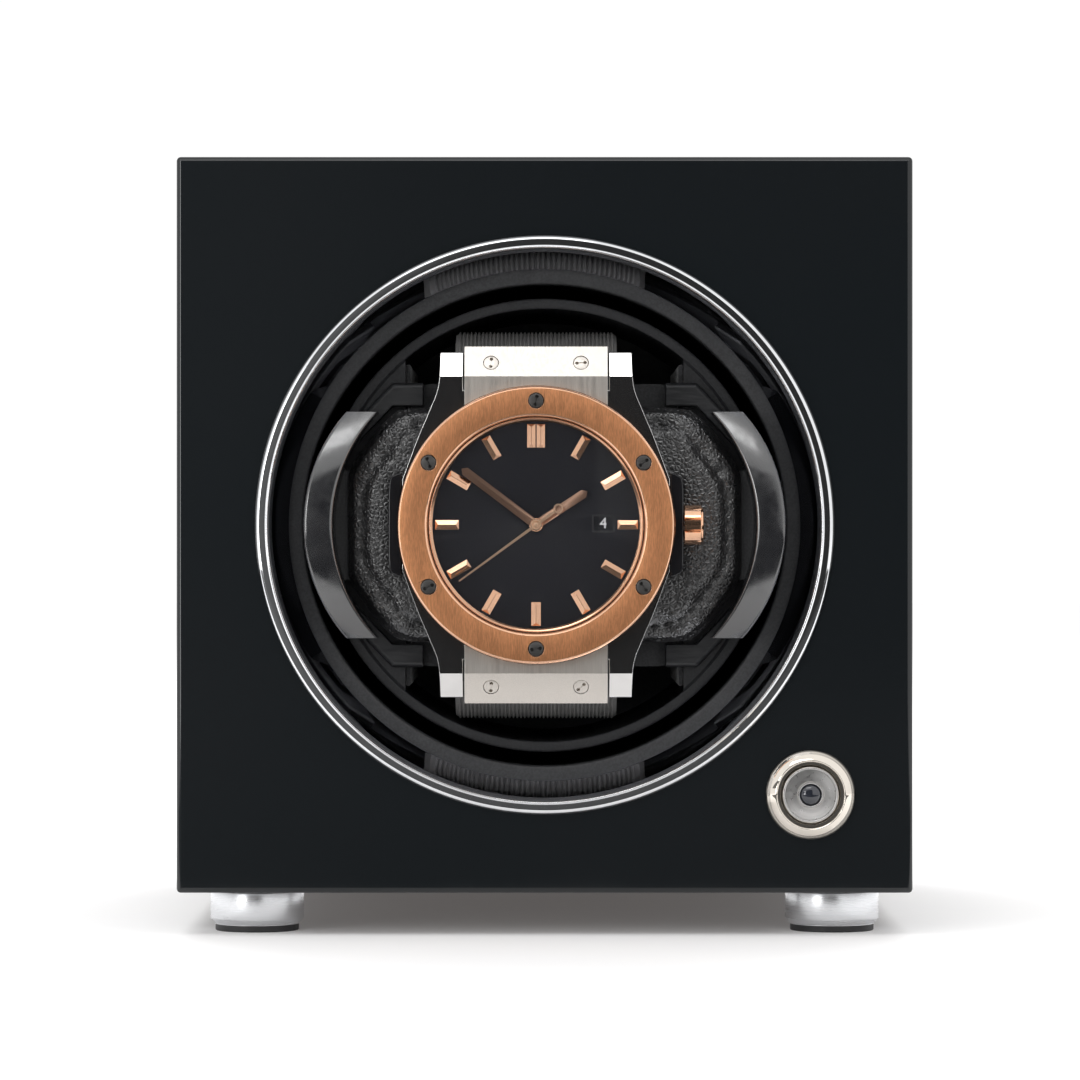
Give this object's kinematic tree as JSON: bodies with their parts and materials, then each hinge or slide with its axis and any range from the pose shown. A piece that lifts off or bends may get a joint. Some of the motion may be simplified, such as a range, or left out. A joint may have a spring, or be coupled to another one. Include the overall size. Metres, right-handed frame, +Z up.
{
  "type": "watch winder box",
  "caption": "Gloss black cabinet on metal feet with a round chrome window, a turning drum with a sprung leather watch holder, a push button and a wristwatch on the holder.",
  "frame": {"origin": "middle of the whole object's footprint on the plane that the foot pads rest on", "axes": "+Z up, +X to the viewer's right, -Y out of the window towards the viewer"},
  "size_m": [0.112, 0.1346, 0.1185],
  "materials": {
    "lacquer": "black piano lacquer over fibreboard",
    "back_panel": "matte black sheet",
    "dark_steel": "blackened",
    "chrome": "polished",
    "polished_black": "polished",
    "matte_black": "fine sparked texture",
    "aluminium": "turned and anodised",
    "rubber": "matte",
    "steel": "plain",
    "brass": "machined",
    "circuit_board": "solder mask",
    "components": "moulded",
    "nickel": "polished nickel",
    "wire": "insulated lead",
    "satin_steel": "satin",
    "lens": "dark indicator lens",
    "drum_black": "moulded",
    "felt": "felt",
    "gear_plastic": "moulded acetal",
    "leather": "pebbled black leather",
    "frame_black": "moulded",
    "satin_black": "satin black",
    "case_steel": "satin with polished edges",
    "rose_gold": "brushed rose gold plating",
    "grey_steel": "grey",
    "crystal": "clear",
    "dial_black": "sunray black",
    "polished_gold": "polished rose gold plating",
    "link_steel": "brushed",
    "strap_rubber": "ribbed"
  },
  "bodies": {
    "cabinet": {"cabinet_shell": "lacquer", "back_panel": "back_panel", "back_panel_screws": "dark_steel", "bezel_ring": "chrome", "funnel_ring": "chrome", "collar": "matte_black", "inner_housing": "matte_black", "feet": "aluminium", "foot_pads": "rubber", "foot_screws": "steel", "frame_screws": "steel", "spindle_bushes": "brass", "motor_bracket": "steel", "gearbox": "steel", "motor": "steel", "circuit_board": "circuit_board", "board_components": "components", "power_inlet": "matte_black", "inlet_nut": "nickel", "wiring_loom": "wire", "switch_bezel": "nickel", "switch_nut": "nickel", "switch_spring": "steel"},
    "drum": {"drum": "drum_black", "slot_liners": "felt", "spindle": "steel", "drum_screw": "dark_steel", "drum_gear": "gear_plastic"},
    "pinion": {"motor_pinion": "steel"},
    "button": {"switch_button": "satin_steel", "switch_lens": "lens"},
    "holder": {"cuff_core": "matte_black", "cuff_wrap": "leather", "left_end_frame": "frame_black", "right_end_frame": "frame_black", "end_frame_screws": "steel", "press_springs": "steel"},
    "cushion": {"cushion_plate": "matte_black", "cushion_pad": "leather", "left_grip": "satin_black", "right_grip": "satin_black", "watch_case": "case_steel", "watch_side_bumpers": "polished_black", "watch_bezel": "rose_gold", "watch_screws": "grey_steel", "watch_crystal": "crystal", "watch_dial": "dial_black", "watch_hour_markers": "polished_gold", "watch_movement": "brass", "watch_case_back": "case_steel", "watch_end_links": "link_steel", "watch_strap": "strap_rubber", "watch_clasp": "steel"},
    "hour_hand": {"watch_hour_hand": "rose_gold"},
    "minute_hand": {"watch_minute_hand": "rose_gold"},
    "second_hand": {"watch_second_hand": "polished_gold"},
    "date_disc": {"watch_date_disc": "dial_black"},
    "winding_rotor": {"watch_rotor": "brass"},
    "stem": {"watch_stem": "steel"},
    "crown": {"watch_crown": "polished_gold"}
  },
  "joints": [
    {"name": "drum_spin", "type": "hinge", "parent": "cabinet", "child": "drum", "pos_m": [0, -0.0197, 0.0625], "axis": [0, 1, 0], "continuous": true},
    {"name": "pinion_spin", "type": "hinge", "parent": "cabinet", "child": "pinion", "pos_m": [0, 0.0303, 0.0865], "axis": [0, 1, 0], "continuous": true},
    {"name": "button_press", "type": "slide", "parent": "cabinet", "child": "button", "axis": [0, 1, 0], "range_m": [0, 0.0015], "stiffness_N_per_m": 500, "springref_m": -0.002, "deforming": ["switch_spring"]},
    {"name": "holder_pull", "type": "slide", "parent": "drum", "child": "holder", "axis": [0, -1, 0], "range_m": [0, 0.075]},
    {"name": "cushion_press", "type": "slide", "parent": "holder", "child": "cushion", "axis": [0, 1, 0], "range_m": [0, 0.002], "stiffness_N_per_m": 800, "springref_m": -0.004, "deforming": ["press_springs"]},
    {"name": "second_hand_spin", "type": "hinge", "parent": "cushion", "child": "second_hand", "pos_m": [-0.0013, -0.0651, 0.0625], "axis": [0, 1, 0], "continuous": true},
    {"name": "minute_hand_spin", "type": "hinge", "parent": "cushion", "child": "minute_hand", "pos_m": [-0.0013, -0.0649, 0.0625], "axis": [0, 1, 0], "continuous": true},
    {"name": "hour_hand_spin", "type": "hinge", "parent": "cushion", "child": "hour_hand", "pos_m": [-0.0013, -0.0646, 0.0625], "axis": [0, 1, 0], "continuous": true},
    {"name": "date_disc_spin", "type": "hinge", "parent": "cushion", "child": "date_disc", "pos_m": [-0.0013, -0.0636, 0.0625], "axis": [0, 1, 0], "continuous": true},
    {"name": "winding_rotor_spin", "type": "hinge", "parent": "cushion", "child": "winding_rotor", "pos_m": [-0.0013, -0.0592, 0.0625], "axis": [0, 1, 0], "continuous": true},
    {"name": "stem_pull", "type": "slide", "parent": "cushion", "child": "stem", "axis": [1, 0, 0], "range_m": [0, 0.0015]},
    {"name": "crown_turn", "type": "hinge", "parent": "stem", "child": "crown", "pos_m": [0.0227, -0.0613, 0.0625], "axis": [1, 0, 0], "continuous": true}
  ],
  "couplings": [
    {"joint": "pinion_spin", "follows": "drum_spin", "ratio": -4},
    {"joint": "minute_hand_spin", "follows": "second_hand_spin", "ratio": 0.016667},
    {"joint": "hour_hand_spin", "follows": "second_hand_spin", "ratio": 0.0013889}
  ]
}
